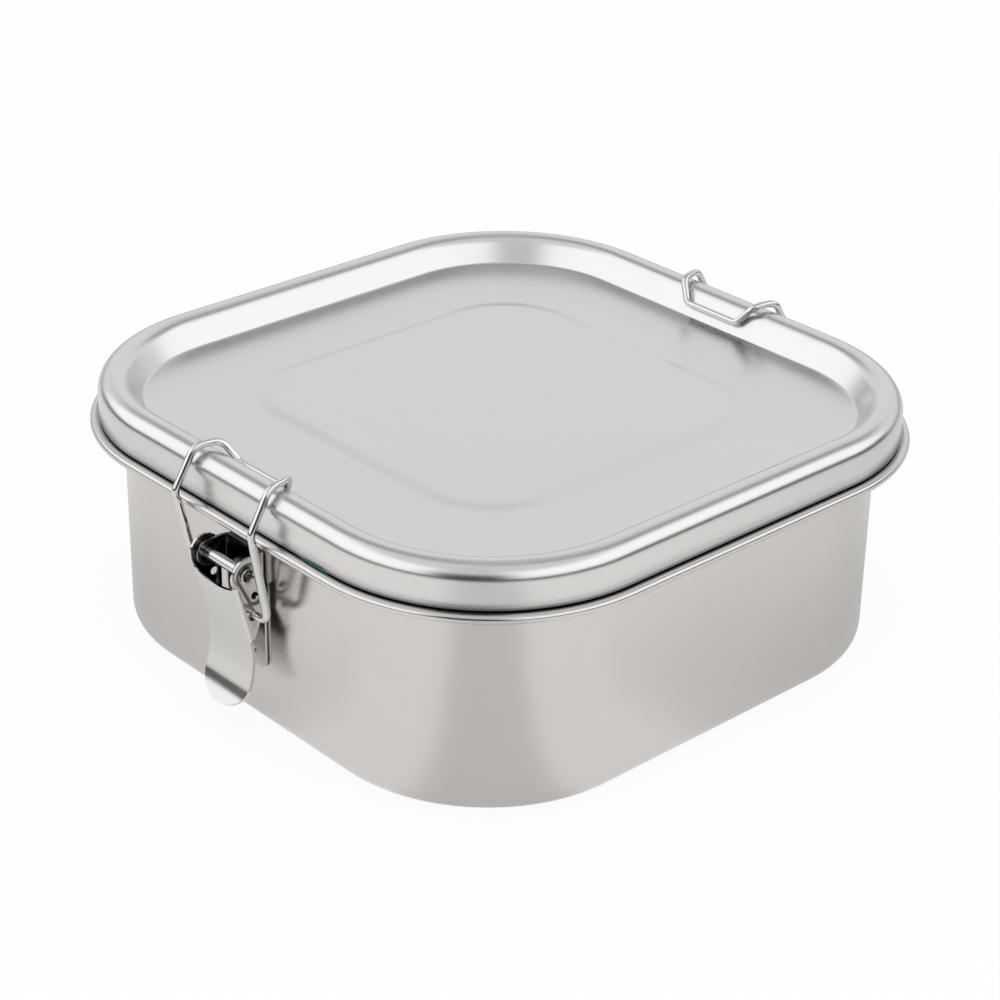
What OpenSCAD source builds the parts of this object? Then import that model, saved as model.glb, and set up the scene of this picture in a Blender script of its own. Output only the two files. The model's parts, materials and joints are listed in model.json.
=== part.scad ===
// Square stainless steel lunch box: a pressed tub, a lift-off lid with a seal,
// and an over-centre wire latch on the front wall (-Y) and on the back wall (+Y).
// +Z is up. The origin is in the middle of the underside of the tub.

/* [Tub] */
// Width of the square tub over its rolled rim
rim_w = 170; // [150:1:200]
// Corner radius of the rolled rim, seen from above
rim_corner_r = 48.2; // [42:0.1:56]
// How far the rim stands out from the wall
rim_reach = 7.3; // [6.8:0.1:9]
// Corner radius of the walls, seen from above
tub_corner_r = 43; // [38:0.1:48]
// Height of the tub, to the top of its rim
tub_h = 56; // [50:0.5:80]
// Thickness of the tub's and the lid's sheet
sheet = 0.6; // [0.5:0.05:0.8]
// Outside radius between the wall and the bottom
bottom_r = 5; // [3:0.5:8]
// Outside radius of the rolled edge
rim_roll_r = 1.1; // [1:0.05:1.4]
// Radius under the bend from wall to rim
throat_r = 1; // [0.6:0.1:1.6]

/* [Lid] */
// How far the lid's skirt stands back from the rolled edge
lid_inset = 2.25; // [1.8:0.05:3]
// Gap between the skirt and the rim below it
lid_gap = 0.3; // [0.2:0.05:0.6]
// Height of the lid's flat panel above the rim
panel_rise = 4; // [3:0.25:5]
// Outside radius of the bead round the lid
bead_r = 4.25; // [4:0.05:4.6]
// Height of the bead's crest above the rim
bead_rise = 10.6; // [9.6:0.1:12]
// Radius between the panel and the bead
panel_fillet_r = 1.6; // [1:0.1:2]
// Width of the raised square in the panel, at the middle of its slope
plateau_w = 93; // [60:1:110]
// Corner radius of the raised square
plateau_corner_r = 19; // [12:0.5:26]
// Height of the raised square
plateau_rise = 0.6; // [0.3:0.1:1.2]
// Width of the slope round the raised square
plateau_slope = 4.5; // [3:0.5:8]

/* [Seal] */
// Gap between the seal and the rim that it lies on
seal_gap = 0.1; // [0.05:0.05:0.2]
// Clearance between the seal and the inside of the bead
seal_fit = 0.1; // [0.05:0.05:0.2]
// Width of the groove between the seal's two lips
seal_groove_w = 2.6; // [1.5:0.1:3.5]
// Depth of that groove
seal_groove_h = 3.5; // [1:0.25:5]

/* [Latch base plate] */
// Thickness of the latch's sheet parts
latch_t = 0.8; // [0.6:0.05:1]
// Width over the two ears of the base plate
ears_w = 14.4; // [12:0.2:18]
// Radius of the ears round the pivot
ear_r = 3.2; // [2.6:0.1:3.3]
// Distance of the lever pivot from the wall
pivot_out = 6.1; // [5.6:0.1:8]
// Distance of the lever pivot below the top of the rim
pivot_drop = 11.8; // [9:0.1:16]
// Length of the plate below the pivot
tongue_h = 27.6; // [20:0.2:31]
// Radius of the plate's lower corners
tongue_corner_r = 2.5; // [1:0.25:4]

/* [Latch lever] */
// Gap between an ear and the lever's cheek beside it
cheek_gap = 0.2; // [0.1:0.05:0.4]
// Radius of the cheeks round the lever pivot
cheek_r = 4.25; // [4.2:0.05:4.6]
// Radius of the cheeks round the hole for the wire
cheek_end_r = 2.8; // [2.2:0.1:2.9]
// How far the wire's hole lies behind the lever pivot
hook_back = 1.4; // [0.6:0.1:2]
// How far the wire's hole lies below the lever pivot
hook_drop = 10.5; // [9:0.1:12]
// Lean of the lever's front face towards the wall, in degrees
lever_lean = 14.65; // [12:0.05:16]
// Straight length of the front face below the pivot
lever_straight = 16.7; // [14:0.1:20]
// Radius of the finger tab's outward curl
tab_curl_r = 21; // [18:0.5:26]
// Angle of the curl, in degrees
tab_curl = 53.5; // [30:0.5:60]
// Distance of the face's upper edge below the pivot, at the cheeks
face_top = 2.6; // [2:0.1:4]
// Depth of the hollow in that upper edge
face_hollow = 2; // [0.5:0.1:3]
// Radius of the spare hole in each cheek
spare_hole_r = 1; // [0.6:0.1:1.2]

/* [Latch pins] */
// Radius of the pivot rivet's shank
rivet_r = 1.05; // [0.8:0.05:1.2]
// Radius of the rivet's two heads
rivet_head_r = 1.9; // [1.6:0.1:2.4]
// Thickness of each head
rivet_head_t = 0.5; // [0.4:0.05:0.8]
// Radius of the hollow in each head
rivet_hollow_r = 0.8; // [0.5:0.05:0.9]
// Outside radius of the spacer tube between the ears
sleeve_r = 1.4; // [1.35:0.05:1.8]
// Clearance of a pin that turns in its hole
turning_fit = 0.06; // [0.02:0.01:0.1]
// Clearance of the rivet in the ears, where it stays still
fixed_fit = 0.02; // [0.01:0.01:0.04]
// Clearance of a latch part along the pivot
end_play = 0.05; // [0.04:0.01:0.1]

/* [Latch wire] */
// Diameter of the wire
wire_d = 1.84; // [1.5:0.02:2]
// How far the wire's pins reach into the lever, past the inside of its cheeks
pin_reach = 1; // [0.8:0.1:2]
// Half distance between the wire's two legs at the lever
elbow_x = 13; // [12.4:0.1:14]
// Bend radius between pin and leg
elbow_bend_r = 3.4; // [2.4:0.1:3.6]
// Half distance between the legs at the rim
knee_x = 14.2; // [13:0.1:16]
// How far the legs' knee stands out from the rim
knee_out = 2.6; // [2.2:0.1:3.2]
// Height of the knee above the rim
knee_rise = 2.4; // [1:0.1:3]
// Bend radius of the knee
knee_bend_r = 2.5; // [1.6:0.1:3]
// Half distance between the legs at their shoulder
shoulder_x = 13.9; // [12:0.1:15]
// How far the shoulder lies outside the middle of the bead
shoulder_out = 3.3; // [3:0.1:4]
// Bend radius of the shoulder
shoulder_bend_r = 4.2; // [2:0.1:4.4]
// Height of the wire's highest bends above the bead's crest
arch_rise = 1.7; // [1.5:0.1:2.4]
// Half distance between the legs where they turn down behind the bead
crest_x = 12.6; // [11:0.1:13.5]
// How far that bend lies inside the middle of the bead
crest_in = 3.2; // [2.8:0.1:3.6]
// Its bend radius
crest_bend_r = 3.4; // [2:0.1:3.6]
// Half length of the cross bar that hooks behind the bead
bar_x = 8.7; // [7:0.1:10]
// Bend radius at the ends of the cross bar
bar_bend_r = 2.1; // [1.4:0.1:2.6]
// Height of the cross bar's middle above the lid's panel
bar_rise = 3.2; // [2.6:0.1:3.6]
// Gap between the cross bar and the bead
hook_gap = 0.5; // [0.1:0.05:0.8]
// Width of the flattened lower legs
leg_flat_w = 2.4; // [2:0.1:2.6]
// Thickness of the flattened lower legs
leg_flat_t = 1.4; // [1.2:0.05:1.6]
// How far the wire has slid to one side in its lever
wire_shift = 0.8; // [0:0.1:1]
// How far the back latch stands to one side of the middle of its wall
back_shift = 0.9; // [-1:0.1:1]

/* [Hidden] */
$fn = 64;

lap = 0.5;                                    // overlap of neighbouring stretches of one sheet
tub_w = rim_w - 2 * rim_reach;
tub_c = tub_w / 2 - tub_corner_r;             // centre of the walls' corners
rim_c = rim_w / 2 - rim_corner_r;             // centre of the rim's and the bead's corners
lid_w = rim_w - 2 * lid_inset;
panel_z = tub_h + panel_rise;
bead_top = tub_h + bead_rise;
bead_x = lid_w / 2 - bead_r;                  // middle of the bead's half round
bead_z = bead_top - bead_r;
bead_inner_x = bead_x - bead_r;               // the bead's face towards the panel

// The latch is worked out for the front wall, in the plane across the wall: [y, z].
wall_y = -tub_w / 2;
pivot = [wall_y - pivot_out, tub_h - pivot_drop];
hook = pivot + [hook_back, -hook_drop];
face_n = [-cos(lever_lean), -sin(lever_lean)];   // out of the lever's front face
face_d = [sin(lever_lean), -cos(lever_lean)];    // down along it
lever_w = ears_w + 2 * cheek_gap + 2 * latch_t;
cheek_x = lever_w / 2 - latch_t;              // inside of a cheek
wire_r = wire_d / 2;
rivet_head_x = lever_w / 2 + end_play;        // underside of a rivet head

function arc(c, r, a0, a1, n) = [for (i = [0:n]) let (a = a0 + (a1 - a0) * i / n) c + r * [cos(a), sin(a)]];
function mirrored(points) = [for (i = [len(points) - 1:-1:0]) [-points[i].x, points[i].y, points[i].z]];

// A square with rounded corners.
module rounded_square(w, r) {
    square([w, w - 2 * r], center = true);
    square([w - 2 * r, w], center = true);
    for (x = [-1, 1], y = [-1, 1]) translate([x, y] * (w / 2 - r)) circle(r);
}

// Takes a section, drawn as [distance from the middle, height], round a rounded square.
module round_square(corner_c) {
    for (side = [0:90:270]) rotate(side) {
        translate([corner_c, corner_c, 0]) rotate_extrude(angle = 90) translate([-corner_c, 0]) children();
        translate([0, corner_c, 0]) rotate([90, 0, 0]) linear_extrude(2 * corner_c) children();
    }
}

// Stands a [y, z] outline up and gives it a thickness along X, from x upwards.
module across(x, t) {
    translate([x, 0, 0]) rotate([90, 0, 90]) linear_extrude(t) children();
}

// A flat link between two round ends.
module strap(a, r_a, b, r_b) {
    span = b - a;
    turn = atan2(span.y, span.x);
    lean = acos((r_a - r_b) / norm(span));
    translate(a) circle(r_a);
    translate(b) circle(r_b);
    polygon([for (s = [1, -1]) each
        let (n = [cos(turn + s * lean), sin(turn + s * lean)])
        s > 0 ? [a + r_a * n, b + r_b * n] : [b + r_b * n, a + r_a * n]]);
}

module tub() color("silver") {
    half = tub_w / 2;
    bottom_c = [half - bottom_r, bottom_r];
    throat_c = [half + throat_r, tub_h - sheet - throat_r];
    roll_c = [rim_w / 2 - rim_roll_r, tub_h - rim_roll_r];
    linear_extrude(sheet) rounded_square(tub_w - 2 * bottom_r, tub_corner_r - bottom_r);
    round_square(tub_c) polygon(concat(
        [[half - bottom_r - lap, 0]],
        arc(bottom_c, bottom_r, -90, 0, 8),
        arc(throat_c, throat_r, 180, 90, 5),
        [[half + throat_r + lap, tub_h - sheet], [half + throat_r + lap, tub_h]],
        arc(throat_c, throat_r + sheet, 90, 180, 5),
        arc(bottom_c, bottom_r - sheet, 0, -90, 8),
        [[half - bottom_r - lap, sheet]]
    ));
    translate([0, 0, tub_h - sheet]) linear_extrude(sheet) difference() {
        rounded_square(rim_w - 2 * rim_roll_r, rim_corner_r - rim_roll_r);
        rounded_square(tub_w + 2 * throat_r, tub_corner_r + throat_r);
    }
    round_square(rim_c) polygon(concat(
        [roll_c + [-lap, rim_roll_r]],
        arc(roll_c, rim_roll_r, 90, -200, 20),
        arc(roll_c, rim_roll_r - sheet, -200, 90, 20),
        [roll_c + [-lap, rim_roll_r - sheet]]
    ));
}

module lid() color("gainsboro") {
    fillet_x = bead_inner_x - panel_fillet_r;
    fillet_c = [fillet_x, panel_z + panel_fillet_r];
    inner = plateau_w - plateau_slope;
    outer = plateau_w + plateau_slope;
    corner_c = plateau_w / 2 - plateau_corner_r;
    steps = 3;
    slope = [for (i = [0:steps]) [inner / 2 + plateau_slope * i / steps,
                                  panel_z + plateau_rise * (1 + cos(180 * i / steps)) / 2]];
    round_square(rim_c) polygon(concat(
        [[fillet_x - lap, panel_z]],
        arc(fillet_c, panel_fillet_r, -90, 0, 6),
        arc([bead_x, bead_z], bead_r, 180, 0, 20),
        [[lid_w / 2, tub_h + lid_gap], [lid_w / 2 - sheet, tub_h + lid_gap]],
        arc([bead_x, bead_z], bead_r - sheet, 0, 180, 20),
        arc(fillet_c, panel_fillet_r + sheet, 0, -90, 6),
        [[fillet_x - lap, panel_z - sheet]]
    ));
    translate([0, 0, panel_z - sheet]) linear_extrude(sheet) difference() {
        rounded_square(2 * fillet_x, fillet_x - rim_c);
        rounded_square(outer, outer / 2 - corner_c);
    }
    round_square(corner_c) polygon(concat(
        [[inner / 2 - lap, panel_z + plateau_rise]],
        slope,
        [[outer / 2 + lap, panel_z], [outer / 2 + lap, panel_z - sheet]],
        [for (i = [steps:-1:0]) slope[i] - [0, sheet]],
        [[inner / 2 - lap, panel_z + plateau_rise - sheet]]
    ));
    translate([0, 0, panel_z + plateau_rise - sheet])
        linear_extrude(sheet) rounded_square(inner, inner / 2 - corner_c);
}

module lid_seal() color("teal") {
    r = bead_r - sheet - seal_fit;
    base = tub_h + seal_gap;
    round_square(rim_c) polygon(concat(
        [[bead_x + r, base]],
        arc([bead_x, bead_z], r, 0, 180, 12),
        [[bead_x - r, base], [bead_x - seal_groove_w / 2, base],
         [bead_x - seal_groove_w / 2, base + seal_groove_h],
         [bead_x + seal_groove_w / 2, base + seal_groove_h],
         [bead_x + seal_groove_w / 2, base]]
    ));
}

module base_plate() color("silver") difference() {
    top = pivot.y + ear_r;
    low = pivot.y - tongue_h;
    union() {
        translate([0, wall_y, 0]) rotate([90, 0, 0]) linear_extrude(latch_t) {
            translate([-ears_w / 2, low + tongue_corner_r]) square([ears_w, top - low - tongue_corner_r]);
            translate([tongue_corner_r - ears_w / 2, low])
                square([ears_w - 2 * tongue_corner_r, tongue_corner_r + lap]);
            for (s = [-1, 1])
                translate([s * (ears_w / 2 - tongue_corner_r), low + tongue_corner_r]) circle(tongue_corner_r);
        }
        for (x = [-ears_w / 2, ears_w / 2 - latch_t]) across(x, latch_t) {
            translate(pivot) circle(ear_r);
            polygon([pivot + [0, ear_r], pivot - [0, ear_r], [wall_y, pivot.y - 1.6 * ear_r], [wall_y, top]]);
        }
    }
    across(-ears_w, 2 * ears_w) translate(pivot) circle(rivet_r + fixed_fit);
}

module pivot_rivet() color("whitesmoke") difference() {
    across(-rivet_head_x - rivet_head_t, 2 * (rivet_head_x + rivet_head_t)) translate(pivot) circle(rivet_head_r);
    across(-rivet_head_x, 2 * rivet_head_x) translate(pivot) difference() {
        circle(2 * rivet_head_r);
        circle(rivet_r);
    }
    for (x = [-rivet_head_x - rivet_head_t - lap, rivet_head_x + rivet_head_t / 3])
        across(x, rivet_head_t * 2 / 3 + lap) translate(pivot) circle(rivet_hollow_r);
}

module pivot_sleeve() color("whitesmoke") {
    length = ears_w - 2 * latch_t - 2 * end_play;
    across(-length / 2, length) translate(pivot) difference() {
        circle(sleeve_r);
        circle(rivet_r + turning_fit);
    }
}

// The lever is one bent sheet: two cheeks, and a face that ends in the finger tab.
module lever() color("silver") {
    foot = pivot + cheek_r * face_n;                     // where the face is nearest to the pivot
    curl_top = foot + lever_straight * face_d;
    curl_c = curl_top + tab_curl_r * face_n;
    curl_a = 180 + lever_lean + 180;                      // from the curl's centre back to the face
    tip_z = curl_c.y + (tab_curl_r) * sin(curl_a - tab_curl);
    face_z = pivot.y - face_top;
    round_h = lever_w / 2 * cos(tab_curl - lever_lean / 2);
    hollow_r = (pow(lever_w / 2, 2) + pow(face_hollow, 2)) / (2 * face_hollow);
    spare = (pivot + hook) / 2 + [hook_back, 0] - [0, latch_t];
    difference() {
        union() {
            intersection() {
                across(-lever_w / 2, lever_w) polygon(concat(
                    [foot - lap * face_d, curl_top],
                    arc(curl_c, tab_curl_r, curl_a, curl_a - tab_curl, 14),
                    arc(curl_c, tab_curl_r + latch_t, curl_a - tab_curl, curl_a, 14),
                    [foot - lap * face_d - latch_t * face_n]
                ));
                translate([0, wall_y, 0]) rotate([90, 0, 0]) linear_extrude(6 * pivot_out) difference() {
                    polygon(concat(
                        [for (i = [0:24]) let (a = 180 + 180 * i / 24)
                            [lever_w / 2 * cos(a), tip_z + round_h + round_h * sin(a)]],
                        [[lever_w / 2, face_z], [-lever_w / 2, face_z]]
                    ));
                    translate([0, face_z - face_hollow + hollow_r]) circle(hollow_r);
                }
            }
            for (x = [-lever_w / 2, cheek_x]) across(x, latch_t) {
                strap(pivot, cheek_r, hook, cheek_end_r);
                strap(hook, cheek_end_r, curl_top - latch_t * face_n + lap * face_d, latch_t);
            }
        }
        across(-lever_w, 2 * lever_w) {
            translate(pivot) circle(rivet_r + turning_fit);
            translate(hook) circle(wire_r + turning_fit);
            translate(spare) circle(spare_hole_r);
        }
    }
}

// The corners of the wire's middle line for one leg, from the pin in the cheek to the cross bar: [x, y, z].
bar = [-(bead_inner_x - wire_r - hook_gap), panel_z + bar_rise];
arch_z = bead_top + arch_rise;
pin_end = cheek_x - pin_reach;
leg_corners = [
    [pin_end + lap, hook.x, hook.y],
    [elbow_x, hook.x, hook.y],
    [knee_x, -(rim_w / 2 + knee_out), tub_h + knee_rise],
    [shoulder_x, -(bead_x + shoulder_out), arch_z],
    [crest_x, -(bead_x - crest_in), arch_z],
    [bar_x, bar.x, bar.y],
    [0, bar.x, bar.y]
];
leg_bends = [elbow_bend_r, knee_bend_r, shoulder_bend_r, crest_bend_r, bar_bend_r];
bend_steps = 5;
core_step = 0.04;                             // the bent wire starts this much thinner inside its round pin
wire_sides = 8;

// The points of a bend with radius r at the corner b between a and c.
function unit(v) = v / norm(v);
function bend(a, b, c, r) =
    let (u = unit(a - b), v = unit(c - b), half = acos(u * v) / 2, turn = 180 - 2 * half,
         centre = b + unit(u + v) * r / sin(half),
         from = b + u * r / tan(half) - centre, to = b + v * r / tan(half) - centre)
    [for (i = [0:bend_steps]) let (t = i / bend_steps)
        centre + (sin((1 - t) * turn) * from + sin(t * turn) * to) / sin(turn)];

// Carries a sideways direction along the line without twisting it.
function square_to(u, dir) = unit(u - (u * dir) * dir);
function carried(dirs, u, i = 0) = i == len(dirs) ? [] :
    let (v = square_to(u, dirs[i])) concat([v], carried(dirs, v, i + 1));

module bail() color("whitesmoke") translate([wire_shift, 0, 0]) {
    bends = [for (i = [0:4]) bend(leg_corners[i], leg_corners[i + 1], leg_corners[i + 2], leg_bends[i])];
    leg_top = bends[0][bend_steps];
    leg_low = bends[1][0];
    flat_ends = [leg_top + wire_d * unit(leg_low - leg_top), leg_low - wire_d * unit(leg_low - leg_top)];
    half_line = concat([leg_corners[0]], bends[0], flat_ends, bends[1], bends[2], bends[3], bends[4]);
    line = concat(half_line, mirrored(half_line));
    n = len(line);
    dirs = [for (i = [0:n - 1]) unit(line[min(i + 1, n - 1)] - line[max(i - 1, 0)])];
    sides = carried(dirs, [0, 0, 1]);
    flat_from = 1 + len(bends[0]);
    rings = [for (i = [0:n - 1])
        let (u = sides[i], v = cross(dirs[i], u), k = min(i, n - 1 - i),
             flat = k == flat_from || k == flat_from + 1,
             r = k < 2 ? wire_r - core_step : wire_r,
             ru = flat ? leg_flat_w / 2 : r,
             rv = flat ? leg_flat_t / 2 : r)
        [for (k = [0:wire_sides - 1]) let (a = 360 * k / wire_sides) line[i] + ru * cos(a) * u + rv * sin(a) * v]];
    polyhedron(
        points = [for (ring = rings) each ring],
        faces = concat(
            [[for (k = [0:wire_sides - 1]) k]],
            [[for (k = [wire_sides - 1:-1:0]) (n - 1) * wire_sides + k]],
            [for (i = [0:n - 2], k = [0:wire_sides - 1]) let (j = (k + 1) % wire_sides, a = i * wire_sides)
                each [[a + k, a + wire_sides + k, a + wire_sides + j], [a + k, a + wire_sides + j, a + j]]]
        )
    );
    pin = bends[0][0].x - pin_end - lap / 2;
    for (x = [pin_end, -pin_end - pin]) across(x, pin) translate(hook) circle(wire_r);
}

module at_back() translate([back_shift, 0, 0]) mirror([0, 1, 0]) children();

tub();
lid();
lid_seal();
base_plate();  // front_base_plate
lever();  // front_lever
pivot_rivet();  // front_pivot_rivet
pivot_sleeve();  // front_pivot_sleeve
bail();  // front_bail
at_back() base_plate();  // back_base_plate
at_back() lever();  // back_lever
at_back() pivot_rivet();  // back_pivot_rivet
at_back() pivot_sleeve();  // back_pivot_sleeve
at_back() bail();  // back_bail
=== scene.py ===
# Square stainless steel lunch box with a lift-off lid and a wire latch at the front and the back.
# Sizes are in metres. +Z is up, and the origin is in the middle of the tub's underside.
import json
import math

import bmesh
import bpy
from mathutils import Euler, Matrix, Vector

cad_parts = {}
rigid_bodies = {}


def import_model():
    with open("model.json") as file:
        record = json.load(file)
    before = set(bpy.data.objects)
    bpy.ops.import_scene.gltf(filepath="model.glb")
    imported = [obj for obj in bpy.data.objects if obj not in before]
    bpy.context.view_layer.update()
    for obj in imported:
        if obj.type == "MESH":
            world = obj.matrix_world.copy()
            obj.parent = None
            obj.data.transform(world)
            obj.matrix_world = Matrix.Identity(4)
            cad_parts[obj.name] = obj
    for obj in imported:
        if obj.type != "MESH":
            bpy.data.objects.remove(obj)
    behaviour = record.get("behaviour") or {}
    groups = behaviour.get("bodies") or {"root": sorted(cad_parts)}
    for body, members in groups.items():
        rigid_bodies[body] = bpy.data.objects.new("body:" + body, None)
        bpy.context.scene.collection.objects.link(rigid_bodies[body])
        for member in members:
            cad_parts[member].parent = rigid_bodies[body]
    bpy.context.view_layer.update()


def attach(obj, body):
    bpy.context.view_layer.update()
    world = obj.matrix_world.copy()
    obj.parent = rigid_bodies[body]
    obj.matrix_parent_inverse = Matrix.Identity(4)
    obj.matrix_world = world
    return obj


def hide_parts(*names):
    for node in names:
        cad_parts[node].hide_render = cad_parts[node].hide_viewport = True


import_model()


# ---- Tub ----
# One sheet of stainless steel, deep-drawn into a square box with wide round corners.
# Its edge is turned out flat as a rim and rolled under. The walls keep a fine brushed finish.
SHEET = 0.0006
WALL_IN = 0.0771              # middle of the box to the inner face of a wall
WALL_CORNER = 0.0347          # centre of the walls' round corners
BOTTOM_BEND = 0.0044          # radius of the bend from the floor to a wall
THROAT = (0.0787, 0.0544)     # centre of the bend from wall to rim: out from the middle, and up
RIM_TOP = 0.056
RIM_ROLL = (0.0839, 0.0549)   # centre of the rolled edge
RIM_ROLL_TURN = 290           # degrees
RIM_CORNER = 0.0368           # centre of the round corners of the rim and of the lid's bead
SKIRT_LINE = 0.04595          # from there out to where the lid's skirt stands
RIM_PAINTED_SHADE = 0.5               # how far painted shade darkens the rim under the skirt
CORNER_STEPS = 28             # rows of mesh round a corner
STRIP, FINE_STRIP = 0.001, 0.0003     # narrow strips of mesh between a bend and a flat
JOIN = 0.00001                # points of the mesh that lie nearer than this are one
CUT_EDGE = 0.0001             # how much a cut edge of the large sheets is eased
SMOOTH = math.radians(35)     # bends below this angle are shaded smooth
UP, ACROSS = (0, 0, 1), (1, 0, 0)


def new_piece(name):
    """An empty mesh object at the origin, open in edit mode."""
    bpy.ops.object.select_all(action="DESELECT")
    bpy.ops.object.add(type="MESH", location=(0, 0, 0))
    piece = bpy.context.object
    piece.name = piece.data.name = name
    bpy.ops.object.mode_set(mode="EDIT")
    bpy.ops.mesh.select_mode(type="VERT")
    return piece


def start_line(point):
    """Puts one vertex at a point and leaves it selected alone, ready to be drawn out."""
    bpy.ops.mesh.select_all(action="DESELECT")
    bpy.ops.mesh.primitive_plane_add(size=0.0001, location=point)
    bpy.ops.mesh.merge(type="CENTER")


def draw_out(move):
    bpy.ops.mesh.extrude_region_move(TRANSFORM_OT_translate={"value": move})


def turn_out(centre, axis, degrees, steps):
    """Draws the selection out along an arc, counter-clockwise about the axis."""
    bpy.ops.mesh.spin(steps=steps, angle=-math.radians(degrees), center=centre, axis=axis)


def draw(start, *strokes):
    """Draws a line in the edit mesh.

    A stroke is a point to go to, or (centre, axis, degrees, steps) for an arc.
    """
    start_line(start)
    here = Vector(start)
    for stroke in strokes:
        if len(stroke) == 3:
            draw_out(Vector(stroke) - here)
            here = Vector(stroke)
        else:
            turn_out(*stroke)
            centre, axis, degrees, _ = stroke
            turn = Matrix.Rotation(math.radians(degrees), 3, axis)
            here = turn @ (here - Vector(centre)) + Vector(centre)


def draw_section(x, start, *strokes):
    """Draws a section across the front wall.

    A stroke is a (y, z) to go to, or (centre, degrees, steps) for an arc.
    """
    draw((x, *start), *((x, *s) if len(s) == 2 else ((x, *s[0]), ACROSS, *s[1:]) for s in strokes))


def select(piece, kind, test):
    """Selects the vertices, edges or faces that pass a test, and nothing else."""
    bpy.ops.mesh.select_all(action="DESELECT")
    mesh = bmesh.from_edit_mesh(piece.data)
    for item in getattr(mesh, kind):
        if test(item):
            item.select_set(True)
    mesh.select_flush_mode()
    bmesh.update_edit_mesh(piece.data)


def round_the_box(corner):
    """Takes the section, drawn at x = -corner, once round the box."""
    bpy.ops.mesh.select_linked()
    for x, y, side in ((1, -1, (1, 0, 0)), (1, 1, (0, 1, 0)),
                       (-1, 1, (-1, 0, 0)), (-1, -1, (0, -1, 0))):
        draw_out(Vector(side) * 2 * corner)
        turn_out((x * corner, y * corner, 0), UP, 90, CORNER_STEPS)
    bpy.ops.mesh.select_linked()
    bpy.ops.mesh.remove_doubles(threshold=2 * JOIN)


def at_height(z):
    """A test for the open edges at one height."""
    return lambda item: all(abs(v.co.z - z) < 1e-6 for v in item.verts) and item.is_boundary


def sheet_metal(piece, thickness, edge=0):
    """Thickens a drawn surface to the sheet behind it, eases the cut edges and shades the bends."""
    bpy.ops.object.mode_set(mode="OBJECT")
    solid = piece.modifiers.new("thickness", "SOLIDIFY")
    solid.thickness, solid.offset, solid.use_even_offset = thickness, -1, True
    bpy.ops.object.modifier_apply(modifier=solid.name)
    if edge:
        ease_edges(piece, edge)
    bpy.ops.object.shade_smooth_by_angle(angle=SMOOTH)


def ease_edges(piece, width, segments=2):
    bevel = piece.modifiers.new("eased edges", "BEVEL")
    bevel.width, bevel.segments, bevel.limit_method = width, segments, "ANGLE"
    bevel.angle_limit = math.radians(50)
    bpy.ops.object.modifier_apply(modifier=bevel.name)


def turn_faces(piece, point, way):
    """Makes the faces agree, and the one nearest to a point look the given way."""
    bpy.ops.mesh.select_all(action="SELECT")
    bpy.ops.mesh.normals_make_consistent(inside=False)
    mesh = bmesh.from_edit_mesh(piece.data)
    nearest = min(mesh.faces, key=lambda f: (f.calc_center_median() - Vector(point)).length)
    if nearest.normal.dot(Vector(way)) < 0:
        bpy.ops.mesh.flip_normals()


class Shade:
    """One output of a shader node. Arithmetic on it adds Math nodes, and add() adds any node."""

    def __init__(self, tree, socket=None):
        self.tree, self.socket = tree, socket

    def add(self, kind, settings=None, inputs=None, output=0):
        node = self.tree.nodes.new("ShaderNode" + kind)
        for name, value in (settings or {}).items():
            setattr(node, name, value)
        for name, value in (inputs or {}).items():
            if isinstance(value, Shade):
                self.tree.links.new(value.socket, node.inputs[name])
            else:
                node.inputs[name].default_value = value
        return Shade(self.tree, node.outputs[output] if node.outputs else None)

    def math(self, operation, first, second=0.0):
        return self.add("Math", {"operation": operation}, {0: first, 1: second})

    def vector(self, operation, *inputs, output="Vector"):
        return self.add("VectorMath", {"operation": operation}, dict(enumerate(inputs)), output)

    def part(self, vector, axis):
        """One of the three numbers of a vector."""
        return self.add("SeparateXYZ", {}, {0: vector}, axis)

    def __add__(self, other):
        return self.math("ADD", self, other)

    def __sub__(self, other):
        return self.math("SUBTRACT", self, other)

    def __rsub__(self, other):
        return self.math("SUBTRACT", other, self)

    def __mul__(self, other):
        return self.math("MULTIPLY", self, other)

    __radd__, __rmul__ = __add__, __mul__

    def soft_step(self, value, start, end, low, high):
        """Goes smoothly from low to high while the value goes from start to end."""
        return self.add("MapRange", {"interpolation_type": "SMOOTHSTEP"}, {
            "Value": value, "From Min": start, "From Max": end, "To Min": low, "To Max": high})

    def noise(self, place, scale, detail, roughness):
        return self.add("TexNoise", {}, {"Vector": place, "Scale": scale, "Detail": detail,
                                         "Roughness": roughness})

    def stretched(self, place, scale):
        return self.add("Mapping", {}, {"Vector": place, "Scale": scale})

    def blend(self, share, first, second):
        """Mixes two colours."""
        return self.add("Mix", {"data_type": "RGBA"}, {0: share, 6: first, 7: second}, 2)


def new_material(name):
    """An empty material: (material, its tree, the object's own coordinates)."""
    material = bpy.data.materials.new(name)
    material.use_nodes = True
    material.node_tree.nodes.clear()
    tree = Shade(material.node_tree)
    return material, tree, tree.add("TexCoord", {}, {}, "Object")


def finish_material(material, tree, settings):
    """Closes a tree with one principled shader."""
    shader = tree.add("BsdfPrincipled", {}, settings)
    tree.add("OutputMaterial", {}, {"Surface": shader})
    return material


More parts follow.
